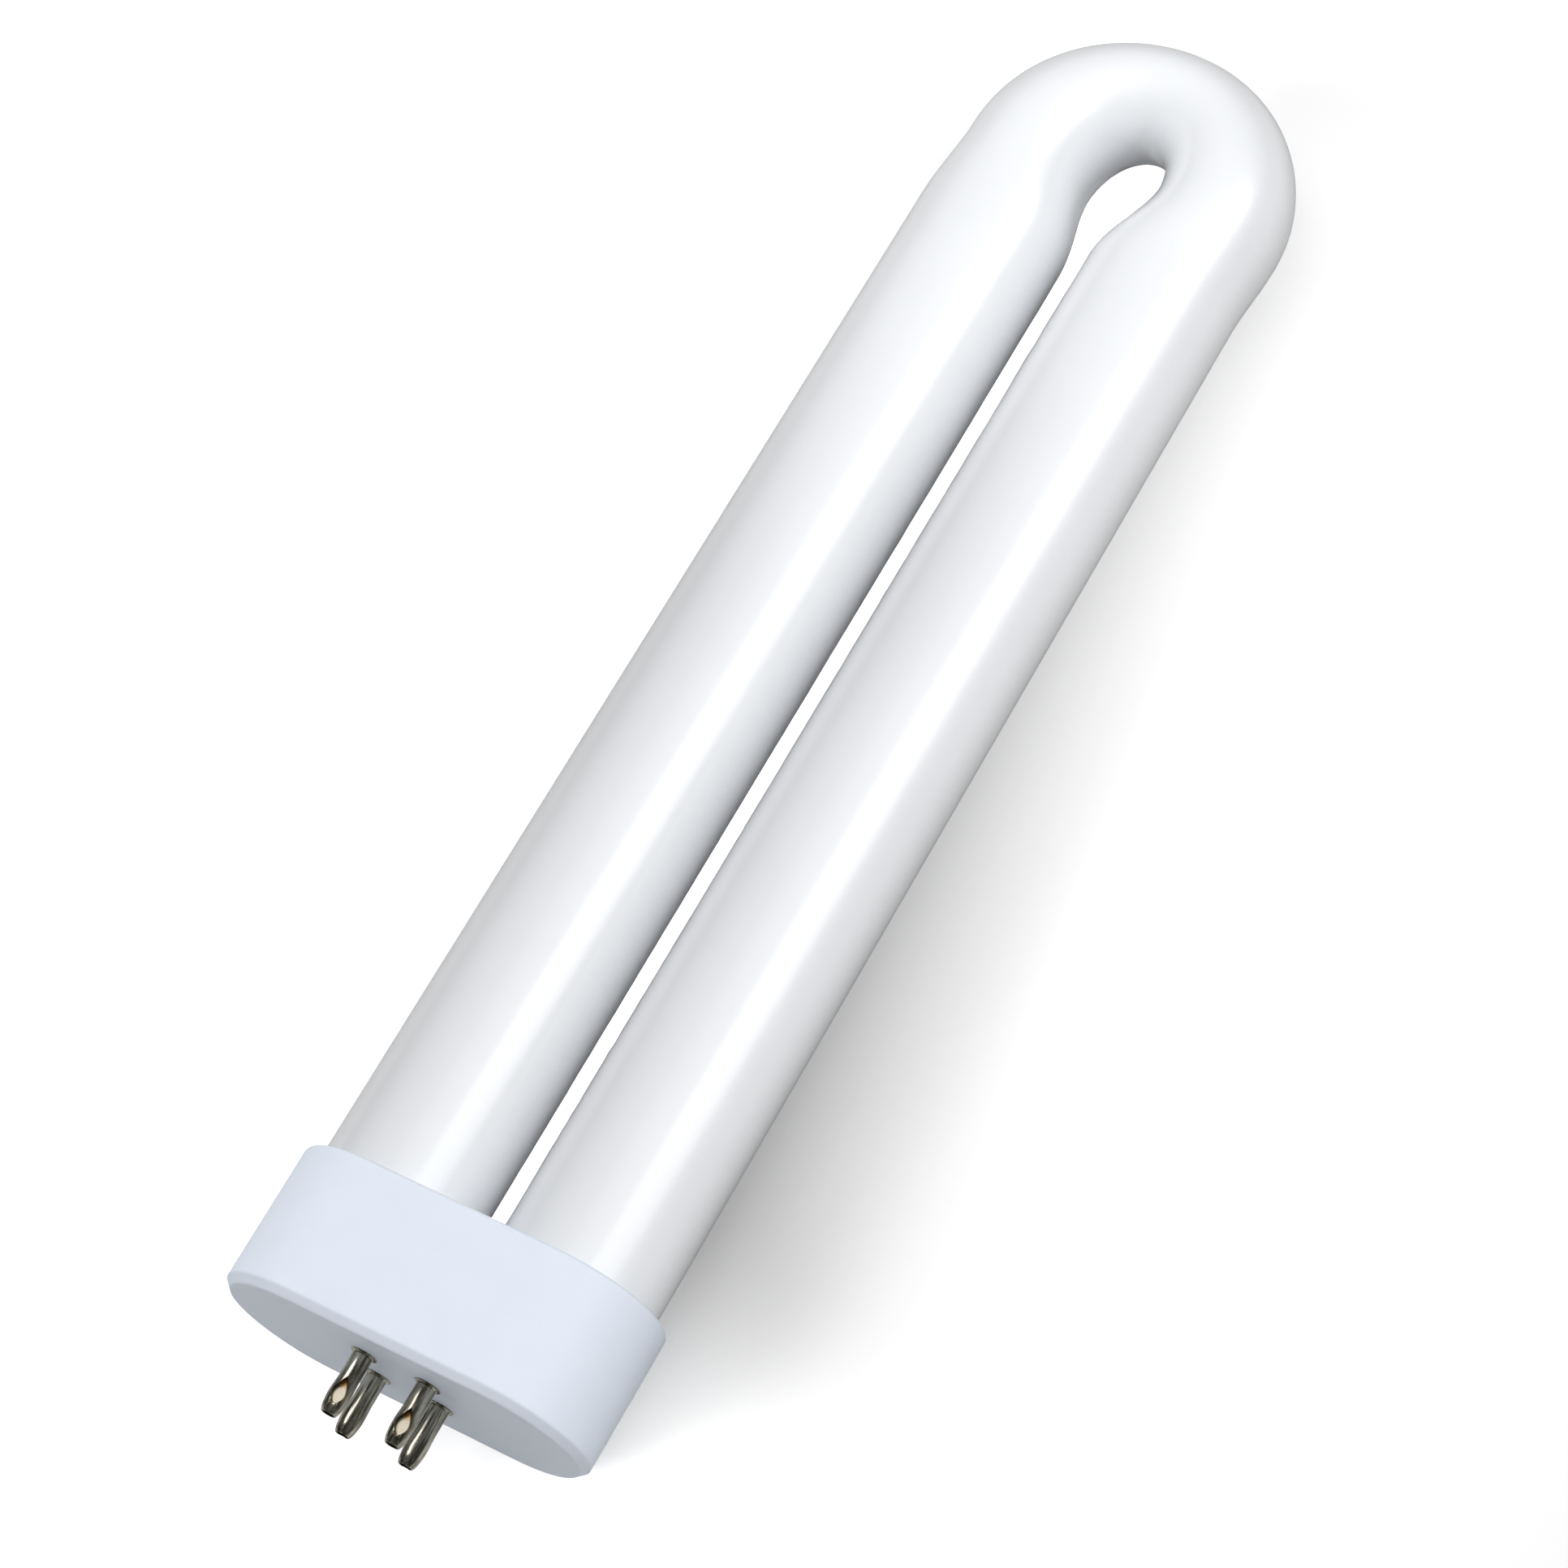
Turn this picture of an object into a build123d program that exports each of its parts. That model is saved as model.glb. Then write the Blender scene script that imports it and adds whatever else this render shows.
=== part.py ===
from build123d import *
from math import cos, radians, sin
import os

# U-shaped black-light lamp: a bent glass tube cemented into an oval cap with four hollow pins.
# Origin in the middle of the cap's end face, +Y along the legs towards the bend, +X across the
# legs, +Z up. The lamp lies on the broad side of its cap. All sizes are in millimetres.

# Glass tube
tube_diameter = 19.05      # outside of the drawn tube
leg_spacing = 22.25        # between the axes of the two legs
bend_top = 185.5           # cap's end face to the outside of the bend
spread_length = 11.0       # stretch below the arch over which the legs spread apart
run_in = 12.0              # last stretch of each leg that is shaped together with the bend
bend_shift = 0.8           # the bend stands this far to the +X side of the legs
bend_rise = 20.0           # height of the bend's outer arch
shoulder_tuck = 0.2        # the outer arch is this much narrower than the legs, on each side
bend_depth = 12.7          # tube across the top of the bend, in the plane of the U
bend_thickness = 16.2      # tube across the top of the bend, square to the plane of the U
hole_width = 8.6           # widest place of the teardrop gap inside the bend
hole_rise = 7.2            # height of the gap's round top
leg_steps = 3              # sections along each run-in
spread_steps = 4           # sections from a leg's straight end to the foot of the arch
bend_steps = 6             # sections over each half of the arch
spare_steps = 2            # sections past each end of a half, trimmed off
tube_end_round = 1.5       # rounded edge of the tube's two sealed ends

# Oval cap
cap_height = 17.2          # end face to rim
cap_side_wall = 1.15       # beside the legs, on the flat sides
cap_nose_wall = 1.7        # beyond the legs, at the two round ends
cap_floor = 2.4            # end wall that carries the pins
socket_clearance = 0.1     # thin layer of cement around each leg
seat_height = 6.2          # end face to the ledge that the tube's ends rest on
seat_ledge = 2.4           # how far the ledge reaches in under a leg
cap_chamfer = 0.9          # bevel around the end face
rim_round = 0.6            # rounded edge around the rim
socket_chamfer = 0.4       # lead-in of each leg socket

# Contact pins
pin_spacing_x = 7.92
pin_spacing_z = 6.35
pin_diameter = 2.3
pin_bore = 1.4
pin_length = 7.3           # beyond the cap's end face
pin_hole_clearance = 0.05
tip_diameter = 1.8         # outside of the open tip
tip_taper = 1.2            # length of the taper before the tip
collar_reach = 0.4         # flared collar on the end face, beyond the pin's wall
collar_thickness = 0.2
flare_radius = 0.35        # round between collar and pin
head_diameter = 3.3        # rolled head behind the cap's floor
head_thickness = 0.3
crimp_middle = 4.85        # end face to the middle of the crimp dent
crimp_length = 2.9
crimp_width = 1.75
crimp_wall = 0.45          # metal left under the dent
crimp_turn = 12.0          # degrees that the dents are turned away from straight outward
groove_diameter = 0.8      # groove that the crimping tool leaves from the dent to the tip
groove_depth = 0.3

# Lead wires
lead_diameter = 0.6
lead_recess = 0.35         # pin tip to the cut end of its wire
lead_gap = 3.6             # between the two wires of one leg, where they leave the glass
lead_bend = 1.2            # inside the wire's two turns, to its middle
crimp_clearance = 0.02     # between dent and wire

# Derived sizes
tube_radius = tube_diameter / 2
leg_x = leg_spacing / 2
straight_end = bend_top - bend_rise - spread_length
socket_radius = tube_radius + socket_clearance
cap_half_depth = socket_radius + cap_side_wall
cap_half_width = leg_x + socket_radius + cap_nose_wall
pin_radius = pin_diameter / 2
bore_radius = pin_bore / 2
lead_radius = lead_diameter / 2
lead_offset = bore_radius - lead_radius
pin_tail = cap_floor + head_thickness
along_y = Plane(origin=(0, 0, 0), x_dir=(1, 0, 0), z_dir=(0, 1, 0))

PIN_SITES = {
    "front_left": (-1, 1),
    "back_left": (-1, -1),
    "front_right": (1, 1),
    "back_right": (1, -1),
}


def tube_section(outer, inner, half_thickness):
    """Oval section of the tube between a point on the U's outside and one on its inside."""
    across = outer - inner
    along = Vector(0, 0, 1).cross(across)
    plane = Plane(origin=(outer + inner) / 2, x_dir=across, z_dir=along)
    half_depth = across.length / 2
    upper = EllipticalCenterArc((0, 0), half_depth, half_thickness, 0, arc_size=180)
    lower = EllipticalCenterArc((0, 0), half_depth, half_thickness, 180, arc_size=180)
    return plane * make_face([upper, lower])


def leg_section(side, height):
    """Round section of a leg at a height above the cap's end face."""
    outer = Vector(side * (leg_x + tube_radius), height, 0)
    inner = Vector(side * (leg_x - tube_radius), height, 0)
    return tube_section(outer, inner, tube_radius)


def arch_points(turn):
    """Outside and inside of the bend, from turn 0 on the +X leg's side to 180 on the other's."""
    reach = cos(radians(turn))
    lift = sin(radians(turn))
    arch_half_width = leg_x + tube_radius - shoulder_tuck
    outer_y = bend_top - bend_rise * (1 - lift)
    inner_y = bend_top - bend_depth - hole_rise * (1 - lift)
    outer = Vector(bend_shift + arch_half_width * reach, outer_y, 0)
    inner = Vector(bend_shift + hole_width / 2 * reach, inner_y, 0)
    return outer, inner


def bend_section(turn):
    """Oval section of the bend, flattest at its top."""
    outer, inner = arch_points(turn)
    flattening = (tube_radius - bend_thickness / 2) * sin(radians(turn))**2
    return tube_section(outer, inner, tube_radius - flattening)


def spread_section(side, turn, share):
    """Section at a share of the way from a leg's straight end to the foot of the bend."""
    straight = (Vector(side * (leg_x + tube_radius), straight_end, 0),
                Vector(side * (leg_x - tube_radius), straight_end, 0))
    ease = share**2 * (3 - 2 * share)
    points = []
    for leg_point, arch_point in zip(straight, arch_points(turn)):
        step = arch_point - leg_point
        points.append(leg_point + Vector(step.X * ease, step.Y * share, 0))
    return tube_section(*points, tube_radius)


def half_bend(side):
    """One leg's last stretch and its half of the bend, lofted past both ends and trimmed there."""
    arch_foot = 90 - 90 * side
    sections = []
    for step in range(-spare_steps, leg_steps):
        sections.append(leg_section(side, straight_end - run_in * (1 - step / leg_steps)))
    for step in range(spread_steps):
        sections.append(spread_section(side, arch_foot, step / spread_steps))
    for step in range(bend_steps + spare_steps + 1):
        sections.append(bend_section(arch_foot + side * 90 * step / bend_steps))
    kept_side = Align.MIN if side > 0 else Align.MAX
    kept = Box(bend_top, bend_top, bend_top, align=(kept_side, Align.MIN, Align.CENTER))
    return loft(sections) & Pos(bend_shift, straight_end - run_in, 0) * kept


def make_tube():
    """Two straight legs joined by the bend, which is narrowed around its teardrop gap."""
    tube = half_bend(1) + half_bend(-1)
    for side in (-1, 1):
        foot = along_y.offset(seat_height) * Pos(side * leg_x, 0) * Circle(tube_radius)
        leg = extrude(foot, straight_end - run_in - seat_height)
        tube += fillet(leg.edges().group_by(Axis.Y)[0], tube_end_round)
    return tube


def make_cap():
    """Oval cap with two leg sockets, a wiring chamber under the seat and four pin holes."""
    outline = along_y * SlotOverall(2 * cap_half_width, 2 * cap_half_depth)
    cap = extrude(outline, cap_height)
    cap = chamfer(cap.faces().sort_by(Axis.Y)[0].edges(), cap_chamfer)
    cap = fillet(cap.faces().sort_by(Axis.Y)[-1].edges(), rim_round)
    for side in (-1, 1):
        mouth = along_y.offset(seat_height) * Pos(side * leg_x, 0) * Circle(socket_radius)
        cap -= extrude(mouth, cap_height - seat_height)
        lead_in = Cone(socket_radius + socket_chamfer, socket_radius, socket_chamfer)
        cap -= Pos(side * leg_x, cap_height - socket_chamfer / 2, 0) * Rot(90, 0, 0) * lead_in
    chamber_radius = tube_radius - seat_ledge
    chamber = along_y.offset(cap_floor) * SlotCenterToCenter(leg_spacing, 2 * chamber_radius)
    cap -= extrude(chamber, seat_height - cap_floor)
    hole_radius = pin_radius + pin_hole_clearance
    for spot in GridLocations(pin_spacing_x, pin_spacing_z, 2, 2):
        cap -= extrude(along_y * spot * Circle(hole_radius), cap_floor)
    return cap


def crimp_body(radius, dent_axis):
    """Long body with round ends that shapes the dent, standing along the pin on the dent's axis."""
    straight = crimp_length - crimp_width
    body = Cylinder(radius, straight)
    for end in (-1, 1):
        body += Pos(0, 0, end * straight / 2) * Sphere(radius)
    return Pos(0, dent_axis, crimp_middle) * body


def make_pin():
    """Hollow pin along +Z with collar, rolled head, tapered tip and a crimp dent facing +Y."""
    collar_radius = pin_radius + collar_reach
    head_radius = head_diameter / 2
    flare_foot = (pin_radius + flare_radius, collar_thickness)
    flare_top = (pin_radius, collar_thickness + flare_radius)
    outline = Polyline(
        flare_top,
        (pin_radius, pin_length - tip_taper),
        (tip_diameter / 2, pin_length),
        (0, pin_length),
        (0, -pin_tail),
        (head_radius, -pin_tail),
        (head_radius, -cap_floor),
        (pin_radius, -cap_floor),
        (pin_radius, 0),
        (collar_radius, 0),
        (collar_radius, collar_thickness),
        flare_foot,
    )
    flare = RadiusArc(flare_foot, flare_top, flare_radius)
    pin = revolve(Plane.XZ * make_face(outline.edges() + flare.edges()), Axis.Z)

    dent_radius = crimp_width / 2
    floor_y = lead_radius - lead_offset + crimp_clearance + crimp_wall
    dent_axis = floor_y + dent_radius
    dent = crimp_body(dent_radius, dent_axis)
    pressed_in = crimp_body(dent_radius + crimp_wall, dent_axis)
    bore = Pos(0, 0, -pin_tail) * extrude(Circle(bore_radius), pin_tail + pin_length)
    groove_axis = pin_radius - groove_depth + groove_diameter / 2
    groove_start = Pos(0, groove_axis, crimp_middle)
    groove = groove_start * extrude(Circle(groove_diameter / 2), pin_length - crimp_middle)
    return pin - (bore - pressed_in) - dent - groove


def make_lead(foot_x, foot_z, side_x, side_z):
    """Wire from its cut end inside a pin to the sealed end of its leg."""
    crossing_y = (pin_tail + seat_height) / 2
    cut_end = (foot_x, lead_recess - pin_length, foot_z)
    over_pin = (foot_x, crossing_y, foot_z)
    under_leg = (side_x * leg_x, crossing_y, side_z * lead_gap / 2)
    glass_end = (side_x * leg_x, seat_height, side_z * lead_gap / 2)
    route = FilletPolyline(cut_end, over_pin, under_leg, glass_end, radius=lead_bend)
    round_wire = Plane(origin=cut_end, z_dir=(0, 1, 0)) * Circle(lead_radius)
    return sweep(round_wire, path=route)


os.makedirs("parts", exist_ok=True)
export_step(make_tube(), "parts/glass_tube.step")
export_step(make_cap(), "parts/base_cap.step")
pin_shape = make_pin()
for name, (side_x, side_z) in PIN_SITES.items():
    facing = 90 - 90 * side_z - crimp_turn
    pin_x = side_x * pin_spacing_x / 2
    pin_z = side_z * pin_spacing_z / 2
    placed = Pos(pin_x, 0, pin_z) * Rot(90, 0, 0) * Rot(0, 0, facing)
    export_step(placed * pin_shape, f"parts/pin_{name}.step")
    lead_x = pin_x + lead_offset * sin(radians(facing))
    lead_z = pin_z - lead_offset * cos(radians(facing))
    export_step(make_lead(lead_x, lead_z, side_x, side_z), f"parts/lead_{name}.step")
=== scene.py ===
import bmesh
import bpy
from math import cos, pi, radians, sin
from mathutils import Matrix, Vector


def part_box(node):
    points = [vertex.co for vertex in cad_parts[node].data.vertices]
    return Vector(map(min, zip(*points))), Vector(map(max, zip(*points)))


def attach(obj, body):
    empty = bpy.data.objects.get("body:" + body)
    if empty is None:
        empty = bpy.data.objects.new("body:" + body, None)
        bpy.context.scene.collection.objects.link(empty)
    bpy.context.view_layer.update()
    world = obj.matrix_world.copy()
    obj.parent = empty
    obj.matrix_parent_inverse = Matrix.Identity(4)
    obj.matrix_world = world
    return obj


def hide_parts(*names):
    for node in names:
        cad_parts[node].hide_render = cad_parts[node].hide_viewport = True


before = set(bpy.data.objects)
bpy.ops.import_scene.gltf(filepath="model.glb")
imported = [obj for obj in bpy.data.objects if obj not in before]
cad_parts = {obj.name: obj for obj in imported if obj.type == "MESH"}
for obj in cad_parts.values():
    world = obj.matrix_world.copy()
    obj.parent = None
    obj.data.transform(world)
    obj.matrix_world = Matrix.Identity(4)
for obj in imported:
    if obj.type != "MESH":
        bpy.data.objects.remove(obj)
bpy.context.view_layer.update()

# The bent glass tube: drawn glass, opaque white from the coat on its inside. Two straight legs run
# up from the cap; the bend between them was pressed while hot, so it is flatter at its top and
# the gap inside it swells into a teardrop. Sizes in metres.
tube_radius = 0.009525
leg_x = 0.011125
foot_y = 0.0062
foot_round = 0.0015
straight_end = 0.1545
bend_top = 0.1855
bend_shift = 0.0008
bend_rise = 0.0200
bend_depth = 0.0127
bend_half_thickness = 0.0081
shoulder_tuck = 0.0002
arch_half_width = leg_x + tube_radius - shoulder_tuck
hole_half_width = 0.0043
hole_rise = 0.0072
ring_points = 96
foot_steps = 6
leg_steps = 24
spread_steps = 16
arch_steps = 72


def tube_frame(outer, inner, half_thickness):
    """Matrix that lays a unit circle between a spot on the U's outside and one on its inside."""
    half_depth = (outer - inner) / 2
    up = Vector((0, 0, half_thickness))
    axes = Matrix((half_depth, up, half_depth.cross(up).normalized()))
    return Matrix.Translation((outer + inner) / 2) @ axes.transposed().to_4x4()


def leg_frame(side, height, radius):
    """The same for a round section of one leg."""
    outer = Vector((side * (leg_x + radius), height, 0))
    inner = Vector((side * (leg_x - radius), height, 0))
    return tube_frame(outer, inner, radius)


def arch_ends(turn):
    """Spots on the outside and the inside of the bend, turned from the right leg to the left one."""
    reach = cos(turn)
    lift = 1 - sin(turn)
    outer = Vector((bend_shift + arch_half_width * reach, bend_top - bend_rise * lift, 0))
    inner_y = bend_top - bend_depth - hole_rise * lift
    return outer, Vector((bend_shift + hole_half_width * reach, inner_y, 0))


def leg_frames(side):
    """Frames up one leg, from its rounded foot to the place where it has spread into the bend."""
    frames = []
    for step in range(foot_steps + 1):
        turn = pi / 2 * step / foot_steps
        shrink = foot_round * (1 - sin(turn))
        frames.append(leg_frame(side, foot_y + foot_round * (1 - cos(turn)), tube_radius - shrink))
    leg_start = foot_y + foot_round
    for step in range(1, leg_steps + 1):
        height = leg_start + (straight_end - leg_start) * step / leg_steps
        frames.append(leg_frame(side, height, tube_radius))
    arch_outer, arch_inner = arch_ends(0 if side > 0 else pi)
    for step in range(1, spread_steps + 1):
        share = step / spread_steps
        ease = share * share * (3 - 2 * share)
        points = []
        for offset, target in ((tube_radius, arch_outer), (-tube_radius, arch_inner)):
            start = Vector((side * (leg_x + offset), straight_end, 0))
            step_x = (target.x - start.x) * ease
            step_y = (target.y - start.y) * share
            points.append(start + Vector((step_x, step_y, 0)))
        frames.append(tube_frame(points[0], points[1], tube_radius))
    return frames


frames = leg_frames(1)
for step in range(1, arch_steps):
    turn = pi * step / arch_steps
    outer, inner = arch_ends(turn)
    flattening = (tube_radius - bend_half_thickness) * sin(turn)**2
    frames.append(tube_frame(outer, inner, tube_radius - flattening))
frames += reversed(leg_frames(-1))

bm = bmesh.new()
bmesh.ops.create_circle(bm, cap_ends=True, segments=ring_points, radius=1.0, matrix=frames[0])
rim = bm.edges[:]
for before, after in zip(frames, frames[1:]):
    grown = bmesh.ops.extrude_edge_only(bm, edges=rim)["geom"]
    verts = [part for part in grown if isinstance(part, bmesh.types.BMVert)]
    rim = [part for part in grown if isinstance(part, bmesh.types.BMEdge) and part.is_boundary]
    bmesh.ops.transform(bm, matrix=after @ before.inverted(), verts=verts)
bmesh.ops.contextual_create(bm, geom=rim)
bmesh.ops.recalc_face_normals(bm, faces=bm.faces)
for face in bm.faces:
    face.smooth = True
tube_mesh = bpy.data.meshes.new("glass_tube_smooth")
bm.to_mesh(tube_mesh)
bm.free()
tube = bpy.data.objects.new("glass_tube_smooth", tube_mesh)
bpy.context.scene.collection.objects.link(tube)
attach(tube, "root")
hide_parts("glass_tube")

glass = bpy.data.materials.new("coated_glass")
glass.use_nodes = True
nodes = glass.node_tree.nodes
links = glass.node_tree.links
skin = nodes["Principled BSDF"]
place = nodes.new("ShaderNodeTexCoord")
cloud = nodes.new("ShaderNodeTexNoise")
cloud.inputs["Scale"].default_value = 60.0
cloud.inputs["Detail"].default_value = 3.0
links.new(place.outputs["Object"], cloud.inputs["Vector"])
coat_colour = nodes.new("ShaderNodeMix")
coat_colour.data_type = "RGBA"
coat_colour.inputs["A"].default_value = (0.797, 0.813, 0.836, 1)
coat_colour.inputs["B"].default_value = (0.832, 0.848, 0.871, 1)
links.new(cloud.outputs["Fac"], coat_colour.inputs["Factor"])
links.new(coat_colour.outputs["Result"], skin.inputs["Base Color"])
powder = nodes.new("ShaderNodeTexNoise")
powder.inputs["Scale"].default_value = 2500.0
powder.inputs["Detail"].default_value = 2.0
links.new(place.outputs["Object"], powder.inputs["Vector"])
dullness = nodes.new("ShaderNodeMapRange")
dullness.inputs["To Min"].default_value = 0.30
dullness.inputs["To Max"].default_value = 0.40
links.new(powder.outputs["Fac"], dullness.inputs["Value"])
links.new(dullness.outputs["Result"], skin.inputs["Roughness"])
wiped = nodes.new("ShaderNodeMapRange")
wiped.inputs["To Min"].default_value = 0.17
wiped.inputs["To Max"].default_value = 0.23
links.new(cloud.outputs["Fac"], wiped.inputs["Value"])
links.new(wiped.outputs["Result"], skin.inputs["Coat Roughness"])
waves = nodes.new("ShaderNodeBump")
waves.inputs["Strength"].default_value = 0.3
waves.inputs["Distance"].default_value = 0.0002
links.new(cloud.outputs["Fac"], waves.inputs["Height"])
links.new(waves.outputs["Normal"], skin.inputs["Normal"])
links.new(waves.outputs["Normal"], skin.inputs["Coat Normal"])
skin.inputs["Coat Weight"].default_value = 1.0
skin.inputs["Coat IOR"].default_value = 1.5
tube_mesh.materials.append(glass)

# The oval cap: one satin moulding of pale, slightly blue plastic. Both legs are cemented into its
# sockets, and four holes in its end wall carry the pins. The material rounds its edges a little.
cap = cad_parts["base_cap"]
plastic = bpy.data.materials.new("cap_plastic")
plastic.use_nodes = True
nodes = plastic.node_tree.nodes
links = plastic.node_tree.links
skin = nodes["Principled BSDF"]
place = nodes.new("ShaderNodeTexCoord")
grain = nodes.new("ShaderNodeTexNoise")
grain.inputs["Scale"].default_value = 300.0
grain.inputs["Detail"].default_value = 4.0
links.new(place.outputs["Object"], grain.inputs["Vector"])
resin = nodes.new("ShaderNodeMix")
resin.data_type = "RGBA"
resin.inputs["A"].default_value = (0.705, 0.760, 0.850, 1)
resin.inputs["B"].default_value = (0.735, 0.790, 0.880, 1)
links.new(grain.outputs["Fac"], resin.inputs["Factor"])
links.new(resin.outputs["Result"], skin.inputs["Base Color"])
satin = nodes.new("ShaderNodeMapRange")
satin.inputs["To Min"].default_value = 0.46
satin.inputs["To Max"].default_value = 0.58
links.new(grain.outputs["Fac"], satin.inputs["Value"])
links.new(satin.outputs["Result"], skin.inputs["Roughness"])
pores = nodes.new("ShaderNodeTexNoise")
pores.inputs["Scale"].default_value = 4000.0
pores.inputs["Detail"].default_value = 2.0
links.new(place.outputs["Object"], pores.inputs["Vector"])
moulded = nodes.new("ShaderNodeBump")
moulded.inputs["Strength"].default_value = 0.2
moulded.inputs["Distance"].default_value = 0.00003
links.new(pores.outputs["Fac"], moulded.inputs["Height"])
soft_edges = nodes.new("ShaderNodeBevel")
soft_edges.samples = 8
soft_edges.inputs["Radius"].default_value = 0.0005
links.new(soft_edges.outputs["Normal"], moulded.inputs["Normal"])
links.new(moulded.outputs["Normal"], skin.inputs["Normal"])
cap.data.materials.clear()
cap.data.materials.append(plastic)

# The four contact pins: drawn tubes of nickel-plated brass, flared against the cap's end wall and
# rolled over behind it. Each is crimped onto its wire: a leaf-shaped pit with a rough floor, and a
# channel from there to the tip. The front pins are crimped from above, the back ones from below.
pin_radius = 0.00115
bore_radius = 0.00070
bore_slack = 1.01
pin_length = 0.0073
tip_radius = 0.00090
tip_taper = 0.0012
tip_round = 0.0001
collar_radius = 0.00155
collar_edge = 0.00010
flare_radius = 0.00024
head_radius = 0.00165
head_thickness = 0.0003
end_wall = 0.0024
pit_start = 0.0031
pit_end = 0.0062
pit_half_width = 0.00088
pit_floor = 0.00037
pit_wall = 0.00045
pit_ramp = 0.00045
pit_flat_share = 0.58
pit_lean = 1.45
pit_bluntness = 0.8
pit_spread = 0.09
stain_start = 0.0006
stain_end = 0.0014
crimp_margin = 0.0003
channel_start = 0.0056
channel_half_width = 0.00055
channel_depth = 0.00042
channel_wall = 0.00020
channel_flat_share = 0.35
pin_x = 0.00396
pin_z = 0.003175
crimp_turn = radians(12)
flare_steps = 8
taper_steps = 16
round_steps = 4
shank_cuts = 8
crimp_cuts = 48
spin_steps = 144


def smooth_step(low, high, value):
    """Rise from 0 at low to 1 at high, level at both ends."""
    share = min(max((value - low) / (high - low), 0), 1)
    return share * share * (3 - 2 * share)


def pin_outline():
    """Half section as radius, height and cuts in the stretch before: outside to the tip, then bore."""
    outline = [
        (bore_radius, -end_wall - head_thickness, 0),
        (head_radius, -end_wall - head_thickness, 0),
        (head_radius, -end_wall, 0),
        (pin_radius, -end_wall, 0),
        (pin_radius, 0, 0),
        (collar_radius, 0, 0),
        (collar_radius, collar_edge, 0),
    ]
    for step in range(flare_steps + 1):
        turn = pi / 2 * step / flare_steps
        radius = pin_radius + flare_radius * (1 - sin(turn))
        outline.append((radius, collar_edge + flare_radius * (1 - cos(turn)), 0))
    outline.append((pin_radius, pit_start - crimp_margin, shank_cuts))
    outline.append((pin_radius, pin_length - tip_taper, crimp_cuts))
    for step in range(1, taper_steps + 1):
        share = step / taper_steps
        radius = pin_radius - (pin_radius - tip_radius) * share**2
        outline.append((radius, pin_length - tip_taper + (tip_taper - tip_round) * share, 0))
    for step in range(1, round_steps + 1):
        turn = pi / 2 * step / round_steps
        radius = tip_radius - tip_round * (1 - cos(turn))
        outline.append((radius, pin_length - tip_round * (1 - sin(turn)), 0))
    outline.append((bore_radius, pin_length - tip_round / 2, 0))
    outline.append((bore_radius, pit_start - crimp_margin, crimp_cuts))
    return outline


def pit_width(height):
    """Half width of the leaf-shaped pit: pointed towards the cap, blunt towards the tip."""
    share = (height - pit_start) / (pit_end - pit_start)
    if not 0 < share < 1:
        return 0
    return pit_half_width * sin(pi * share**pit_lean)**pit_bluntness


def crimp_pin(bm):
    """Press pit and channel into the pin's +Y side, and mark the pit, the stain, and the pit's wall
    and the bore for painted shade.
    """
    in_pit = bm.verts.layers.float.new("in_pit")
    wall_shade = bm.verts.layers.float.new("wall_shade")
    in_stain = bm.verts.layers.float.new("in_stain")
    bore_shade = bm.verts.layers.float.new("bore_shade")
    for vert in bm.verts:
        x, y, height = vert.co
        inner = Vector((x, y)).length < bore_radius * bore_slack
        # Painted shade: the bore is marked here to be coloured nearly black.
        vert[bore_shade] = 1.0 if inner else 0.0
        width = pit_width(height)
        if y > 0 and width > 0 and abs(x) < width:
            rise = smooth_step(pit_flat_share, 1.0, abs(x) / width)
            rise = max(rise, 1 - smooth_step(0, pit_ramp, height - pit_start))
            tool = pit_floor + (pin_radius - pit_floor) * rise
            vert.co.y = min(y, tool - pit_wall if inner else tool)
            vert[in_pit] = 0.0 if inner else 1 - rise
            # Painted shade: the pit's walls are marked here to be coloured nearly black.
            vert[wall_shade] = 4 * rise * (1 - rise)
            vert[in_stain] = 1 - smooth_step(stain_start, stain_end, height - pit_start)
        if y > 0 and height > channel_start and abs(x) < channel_half_width:
            taper = max(0, height - pin_length + tip_taper) / tip_taper
            crown = pin_radius - (pin_radius - tip_radius) * taper**2
            rise = smooth_step(channel_flat_share, 1.0, abs(x) / channel_half_width)
            tool = crown - channel_depth * (1 - rise)
            vert.co.y = min(vert.co.y, tool - channel_wall if inner else tool)
        vert.co.x = x * (1 + pit_spread * width / pit_half_width)


nickel = bpy.data.materials.new("pin_metal")
pins = []
for name, side_x, side_z in (
    ("front_left", -1, 1),
    ("back_left", -1, -1),
    ("front_right", 1, 1),
    ("back_right", 1, -1),
):
    bm = bmesh.new()
    outline = pin_outline()
    corners = [bm.verts.new((radius, 0, height)) for radius, height, cuts in outline]
    stretches = [bm.edges.new((corners[k - 1], corners[k])) for k in range(len(corners))]
    for stretch, (radius, height, cuts) in zip(stretches, outline):
        if cuts:
            bmesh.ops.subdivide_edges(bm, edges=[stretch], cuts=cuts)
    bmesh.ops.spin(
        bm,
        geom=bm.verts[:] + bm.edges[:],
        axis=(0, 0, 1),
        angle=2 * pi,
        steps=spin_steps,
        use_merge=True,
    )
    bmesh.ops.recalc_face_normals(bm, faces=bm.faces)
    crimp_pin(bm)
    facing = Matrix.Rotation(pi / 2 - side_z * pi / 2 - crimp_turn, 4, "Z")
    lying = Matrix.Rotation(pi / 2, 4, "X")
    hole = Matrix.Translation((side_x * pin_x, 0, side_z * pin_z))
    bmesh.ops.transform(bm, matrix=hole @ lying @ facing, verts=bm.verts)
    for face in bm.faces:
        face.smooth = True
    pin_mesh = bpy.data.meshes.new("crimped_pin_" + name)
    bm.to_mesh(pin_mesh)
    bm.free()
    pin_mesh.materials.append(nickel)
    pin = bpy.data.objects.new("crimped_pin_" + name, pin_mesh)
    bpy.context.scene.collection.objects.link(pin)
    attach(pin, "root")
    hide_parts("pin_" + name)
    pins.append(pin)
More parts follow.
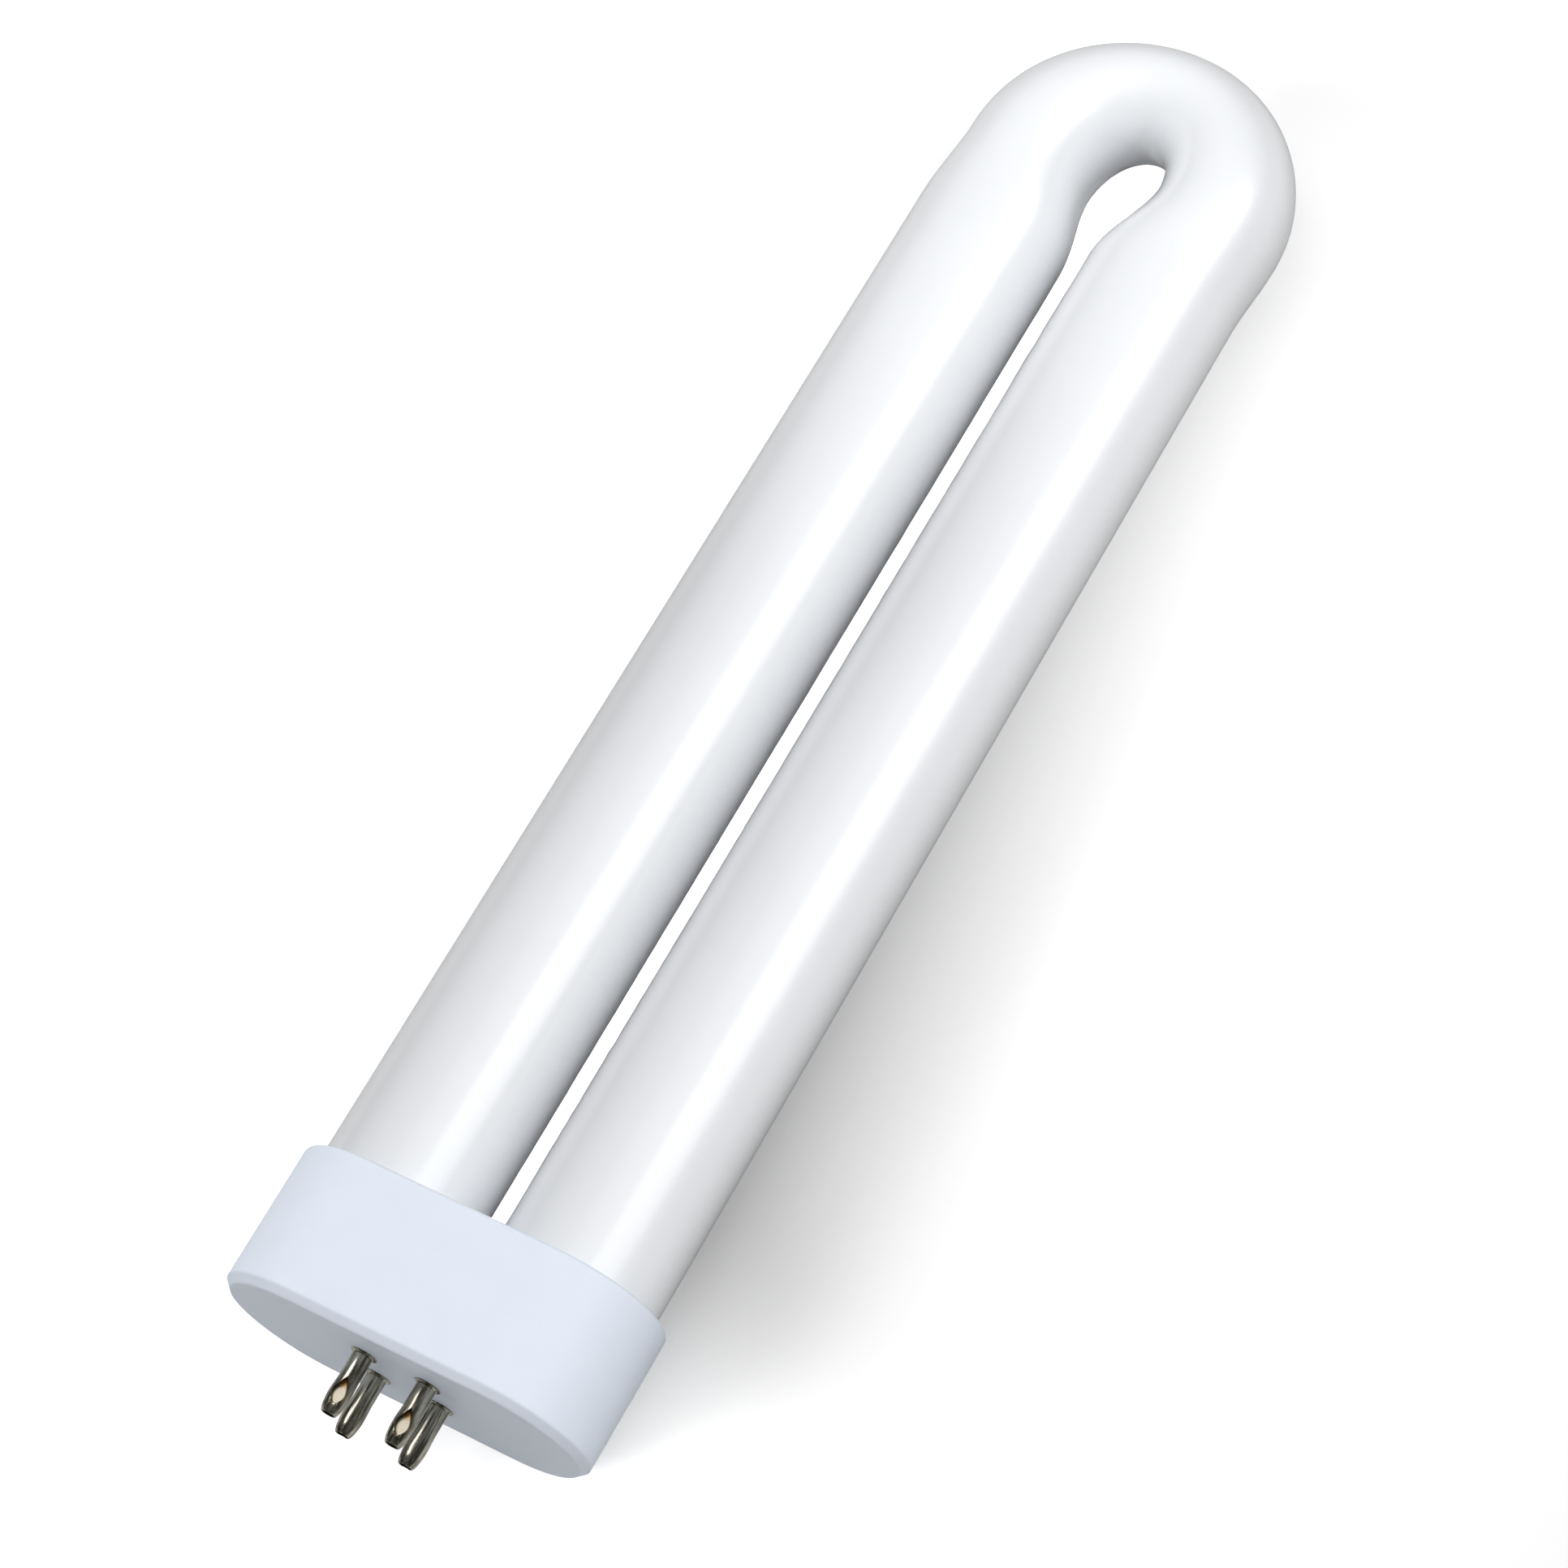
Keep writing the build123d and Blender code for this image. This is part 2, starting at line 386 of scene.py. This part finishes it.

# Plating: lengthwise drawing streaks from dark to bright, a rough bright floor in the pit with a
# straw-coloured heat stain at its top, painted shade on the walls around the pit, and painted shade in
# the dull bore.
nickel.use_nodes = True
nodes = nickel.node_tree.nodes
links = nickel.node_tree.links
skin = nodes["Principled BSDF"]
skin.inputs["Metallic"].default_value = 1.0
place = nodes.new("ShaderNodeTexCoord")
drawn = nodes.new("ShaderNodeMapping")
drawn.inputs["Scale"].default_value = (1.0, 0.07, 1.0)
links.new(place.outputs["Object"], drawn.inputs["Vector"])
streaks = nodes.new("ShaderNodeTexNoise")
streaks.inputs["Scale"].default_value = 3600.0
streaks.inputs["Detail"].default_value = 3.0
streaks.inputs["Roughness"].default_value = 0.6
links.new(drawn.outputs["Vector"], streaks.inputs["Vector"])
plating = nodes.new("ShaderNodeValToRGB")
plating.color_ramp.elements[0].position = 0.36
plating.color_ramp.elements[0].color = (0.11, 0.10, 0.07, 1)
plating.color_ramp.elements[1].position = 0.66
plating.color_ramp.elements[1].color = (0.68, 0.65, 0.54, 1)
links.new(streaks.outputs["Fac"], plating.inputs["Fac"])

knurl = nodes.new("ShaderNodeTexNoise")
knurl.inputs["Scale"].default_value = 9000.0
knurl.inputs["Detail"].default_value = 1.0
links.new(place.outputs["Object"], knurl.inputs["Vector"])
bare_floor = nodes.new("ShaderNodeMix")
bare_floor.data_type = "RGBA"
bare_floor.inputs["A"].default_value = (0.62, 0.54, 0.40, 1)
bare_floor.inputs["B"].default_value = (0.96, 0.89, 0.74, 1)
links.new(knurl.outputs["Fac"], bare_floor.inputs["Factor"])


def mesh_mask(name):
    """Value that crimp_pin has left on the mesh."""
    mask = nodes.new("ShaderNodeAttribute")
    mask.attribute_name = name
    return mask.outputs["Fac"]


def cover(under, over, mask):
    """Colour that shows over where the mask is 1, and under elsewhere."""
    layer = nodes.new("ShaderNodeMix")
    layer.data_type = "RGBA"
    links.new(mask, layer.inputs["Factor"])
    links.new(under, layer.inputs["A"])
    if isinstance(over, tuple):
        layer.inputs["B"].default_value = over
    else:
        links.new(over, layer.inputs["B"])
    return layer.outputs["Result"]


pit_mask = mesh_mask("in_pit")
stained = cover(bare_floor.outputs["Result"], (0.80, 0.45, 0.14, 1), mesh_mask("in_stain"))
crimped = cover(plating.outputs["Color"], stained, pit_mask)
# Painted shade on the pit's walls.
crimped = cover(crimped, (0.05, 0.04, 0.025, 1), mesh_mask("wall_shade"))
# Painted shade inside the bore.
plating_and_shade = cover(crimped, (0.03, 0.028, 0.024, 1), mesh_mask("bore_shade"))
links.new(plating_and_shade, skin.inputs["Base Color"])
polish = nodes.new("ShaderNodeMix")
polish.inputs["A"].default_value = 0.24
polish.inputs["B"].default_value = 0.55
links.new(pit_mask, polish.inputs["Factor"])
links.new(polish.outputs["Result"], skin.inputs["Roughness"])
relief = nodes.new("ShaderNodeBump")
relief.inputs["Strength"].default_value = 0.25
relief.inputs["Distance"].default_value = 0.00004
links.new(streaks.outputs["Fac"], relief.inputs["Height"])
links.new(relief.outputs["Normal"], skin.inputs["Normal"])

# The four lead wires: copper-clad wire, sealed into the ends of the legs. Each one runs through the
# cap's chamber into its pin, where the crimp holds it.
copper = bpy.data.materials.new("lead_wire")
copper.use_nodes = True
nodes = copper.node_tree.nodes
links = copper.node_tree.links
skin = nodes["Principled BSDF"]
place = nodes.new("ShaderNodeTexCoord")
stain = nodes.new("ShaderNodeTexNoise")
stain.inputs["Scale"].default_value = 1500.0
links.new(place.outputs["Object"], stain.inputs["Vector"])
cladding = nodes.new("ShaderNodeMix")
cladding.data_type = "RGBA"
cladding.inputs["A"].default_value = (0.42, 0.24, 0.12, 1)
cladding.inputs["B"].default_value = (0.72, 0.46, 0.25, 1)
links.new(stain.outputs["Fac"], cladding.inputs["Factor"])
links.new(cladding.outputs["Result"], skin.inputs["Base Color"])
tarnish = nodes.new("ShaderNodeMapRange")
tarnish.inputs["To Min"].default_value = 0.28
tarnish.inputs["To Max"].default_value = 0.42
links.new(stain.outputs["Fac"], tarnish.inputs["Value"])
links.new(tarnish.outputs["Result"], skin.inputs["Roughness"])
scuffs = nodes.new("ShaderNodeBump")
scuffs.inputs["Strength"].default_value = 0.2
scuffs.inputs["Distance"].default_value = 0.00003
links.new(stain.outputs["Fac"], scuffs.inputs["Height"])
links.new(scuffs.outputs["Normal"], skin.inputs["Normal"])
skin.inputs["Metallic"].default_value = 1.0
for name in ("front_left", "back_left", "front_right", "back_right"):
    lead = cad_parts["lead_" + name]
    lead.data.materials.clear()
    lead.data.materials.append(copper)

# The floor: a plain white sheet under the cap's broad side. It is greyer for everything but the
# camera, so that it doesn't wash out the underside of the glass, and it fades to white far away.
floor_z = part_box("base_cap")[0].z
floor_half_width = 3.0
bm = bmesh.new()
bmesh.ops.create_grid(bm, x_segments=1, y_segments=1, size=floor_half_width)
floor_mesh = bpy.data.meshes.new("floor")
bm.to_mesh(floor_mesh)
bm.free()
floor_mesh.transform(Matrix.Translation((0, 0, floor_z)))
floor = bpy.data.objects.new("floor", floor_mesh)
bpy.context.scene.collection.objects.link(floor)
paper = bpy.data.materials.new("white_paper")
paper.use_nodes = True
nodes = paper.node_tree.nodes
links = paper.node_tree.links
nodes.clear()
sheet = nodes.new("ShaderNodeBsdfDiffuse")
rays = nodes.new("ShaderNodeLightPath")
seen = nodes.new("ShaderNodeMix")
seen.data_type = "RGBA"
seen.inputs["A"].default_value = (0.30, 0.30, 0.30, 1)
seen.inputs["B"].default_value = (0.66, 0.66, 0.66, 1)
links.new(rays.outputs["Is Camera Ray"], seen.inputs["Factor"])
links.new(seen.outputs["Result"], sheet.inputs["Color"])
place = nodes.new("ShaderNodeTexCoord")
away = nodes.new("ShaderNodeVectorMath")
away.operation = "DISTANCE"
away.inputs[1].default_value = (0, 0.09, 0)
links.new(place.outputs["Object"], away.inputs[0])
far = nodes.new("ShaderNodeMapRange")
far.inputs["From Min"].default_value = 0.16
far.inputs["From Max"].default_value = 0.27
links.new(away.outputs["Value"], far.inputs["Value"])
faded = nodes.new("ShaderNodeMath")
faded.operation = "MULTIPLY"
links.new(far.outputs["Result"], faded.inputs[0])
links.new(rays.outputs["Is Camera Ray"], faded.inputs[1])
white = nodes.new("ShaderNodeEmission")
backdrop = nodes.new("ShaderNodeMixShader")
links.new(faded.outputs["Value"], backdrop.inputs["Fac"])
links.new(sheet.outputs["BSDF"], backdrop.inputs[1])
links.new(white.outputs["Emission"], backdrop.inputs[2])
surface = nodes.new("ShaderNodeOutputMaterial")
links.new(backdrop.outputs["Shader"], surface.inputs["Surface"])
floor_mesh.materials.append(paper)

# The room: even white light from all sides. It is weaker in reflections and white for the camera.
room = bpy.data.worlds.new("white_room")
bpy.context.scene.world = room
room.use_nodes = True
nodes = room.node_tree.nodes
links = room.node_tree.links
rays = nodes.new("ShaderNodeLightPath")
mirrored = nodes.new("ShaderNodeMix")
mirrored.inputs["A"].default_value = 0.40
mirrored.inputs["B"].default_value = 0.10
links.new(rays.outputs["Is Glossy Ray"], mirrored.inputs["Factor"])
shown = nodes.new("ShaderNodeMix")
shown.inputs["B"].default_value = 1.0
links.new(rays.outputs["Is Camera Ray"], shown.inputs["Factor"])
links.new(mirrored.outputs["Result"], shown.inputs["A"])
links.new(shown.outputs["Result"], nodes["Background"].inputs["Strength"])
nodes["Background"].inputs["Color"].default_value = (1.0, 1.0, 1.0, 1)


def area_light(name, spot, aim, size, power):
    """Rectangular lamp at a spot, turned towards its aim."""
    lamp = bpy.data.lights.new(name, "AREA")
    lamp.shape = "RECTANGLE"
    lamp.size, lamp.size_y = size
    lamp.energy = power
    holder = bpy.data.objects.new(name, lamp)
    bpy.context.scene.collection.objects.link(holder)
    holder.location = spot
    holder.rotation_mode = "QUATERNION"
    holder.rotation_quaternion = (Vector(aim) - Vector(spot)).to_track_quat("-Z", "Y")
    return holder


# Lamps on the glass and the cap: a large one above that only lights, one on the right that is only
# seen as the highlight, a weak one from below the left for the light that comes back off a table,
# and two small ones that lift the inside of the bend and the cap's end. One lamp is for the pins.
main_lamp = area_light("main_lamp", (0.42, 0.39, 0.42), (0, 0.39, 0), (0.46, 0.38), 1.55)
main_lamp.visible_diffuse = False
top_lamp = area_light("top_lamp", (0.19, 0.17, 0.52), (0, 0.15, 0), (0.6, 0.5), 2.75)
top_lamp.visible_glossy = False
saddle_lamp = area_light("saddle_lamp", (-0.26, -0.10, 0.34), (0.006, 0.172, 0), (0.06, 0.06), 0.0032)
saddle_lamp.data.spread = radians(7)
saddle_lamp.visible_glossy = False
lit_tube = bpy.data.collections.new("lit_tube")
lit_tube.objects.link(tube)
saddle_lamp.light_linking.receiver_collection = lit_tube
lit_body = bpy.data.collections.new("lit_body")
lit_body.objects.link(tube)
lit_body.objects.link(cap)
main_lamp.light_linking.receiver_collection = lit_body
top_lamp.light_linking.receiver_collection = lit_body
bounce_lamp = area_light("bounce_lamp", (-0.47, 0.26, -0.33), (0, 0.09, 0), (0.6, 0.4), 1.5)
bounce_lamp.visible_glossy = False
bounce_lamp.visible_camera = False
bounce_lamp.light_linking.receiver_collection = lit_body
bounce_lamp.light_linking.blocker_collection = lit_body
cap_lamp = area_light("cap_lamp", (-0.35, -0.03, 0.15), (0, 0.01, 0), (0.12, 0.12), 0.34)
cap_lamp.visible_glossy = False
lit_cap = bpy.data.collections.new("lit_cap")
lit_cap.objects.link(cap)
cap_lamp.light_linking.receiver_collection = lit_cap
pin_lamp = area_light("pin_lamp", (-0.086, 0.145, 0.363), (0, 0, 0), (0.30, 0.12), 0.75)
lit_pins = bpy.data.collections.new("lit_pins")
for pin in pins:
    lit_pins.objects.link(pin)
pin_lamp.light_linking.receiver_collection = lit_pins

# Lamps that reach only the floor: the first throws the shadow to the right, the second keeps the
# sheet white, and the small ones lift the shadow where the photograph has none.
lit_floor = bpy.data.collections.new("lit_floor")
lit_floor.objects.link(floor)
for name, spot, aim, size, power, spread in (
    ("shadow_lamp", (-0.23, -0.20, 0.18), (0.04, 0.05, 0), (0.40, 0.32), 2.8, 150),
    ("fill_lamp", (0.10, 0.10, 0.9), (0.05, 0.10, 0), (0.9, 0.9), 3.4, 180),
    ("bend_lamp", (0.20, 0.26, 0.14), (0.045, 0.160, 0), (0.12, 0.12), 0.14, 64),
    ("left_lamp", (-0.20, 0.24, 0.20), (-0.045, 0.150, 0), (0.08, 0.08), 0.006, 24),
    ("corner_lamp", (0.12, -0.02, 0.16), (0.032, 0.004, 0), (0.02, 0.02), 0.0015, 12),
    ("gap_lamp", (0.0488, 0.102, 0.120), (0.0008, 0.102, 0), (0.170, 0.010), 0.024, 6),
    ("hole_lamp", (0.044, 0.0999, 0.1087), (-0.0035, 0.1748, -0.0108), (0.02, 0.02), 0.003, 8),
):
    lamp = area_light(name, spot, aim, size, power)
    lamp.data.spread = radians(spread)
    lamp.light_linking.receiver_collection = lit_floor
    lamp.visible_camera = False

# The camera looks down on the lamp from beside its cap, as in the photograph.
camera_spot = (0.16933, -0.09658, 0.42220)
right = Vector((0.86578, 0.47960, -0.14284))
up = Vector((-0.36431, 0.79977, 0.47713))
back = Vector((0.34307, -0.36105, 0.86715))
lens = bpy.data.cameras.new("camera")
lens.lens = 100.61
lens.sensor_width = 36.0
lens.clip_start = 0.01
lens.clip_end = 20.0
camera = bpy.data.objects.new("camera", lens)
bpy.context.scene.collection.objects.link(camera)
turned = Matrix((right, up, back)).transposed().to_4x4()
camera.matrix_world = Matrix.Translation(camera_spot) @ turned
bpy.context.scene.camera = camera
bpy.context.scene.view_settings.view_transform = "Standard"
